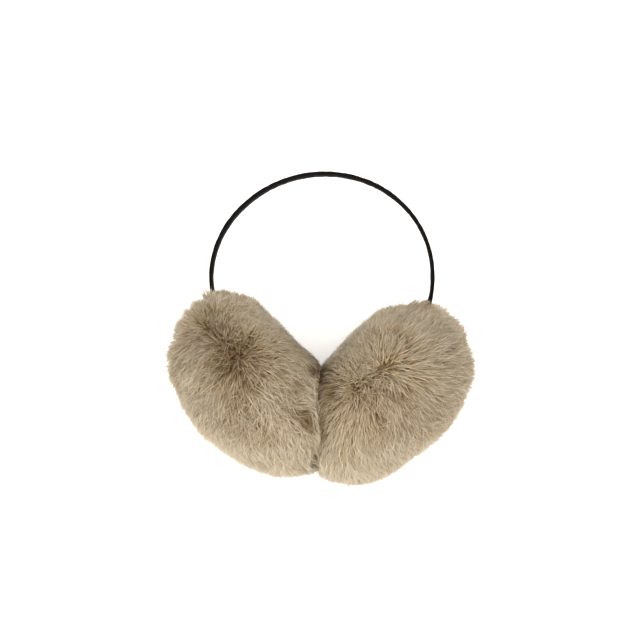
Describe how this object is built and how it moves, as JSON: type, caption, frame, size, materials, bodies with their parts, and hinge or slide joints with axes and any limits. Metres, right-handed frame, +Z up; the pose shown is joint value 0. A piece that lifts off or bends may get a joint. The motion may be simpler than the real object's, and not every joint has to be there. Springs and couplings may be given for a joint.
{
  "type": "fur earmuffs",
  "caption": "Fluffy fur earmuffs: plump round fur muffs pressed together on the ends of a thin cloth-covered spring band, lying on their side.",
  "frame": {"origin": "centre of the bounding box's bottom face, on the surface that the earmuffs lie on", "axes": "+Z up out of that surface, +Y from the muffs to the top of the band's arch, +X towards the right muff"},
  "size_m": [0.1908, 0.1884, 0.123],
  "materials": {
    "band_cloth": "matt black twill ribbon",
    "fur": "soft deep taupe faux fur, darker at the roots"
  },
  "bodies": {
    "root": {"headband": "band_cloth", "left_muff": "fur", "right_muff": "fur"}
  },
  "joints": []
}
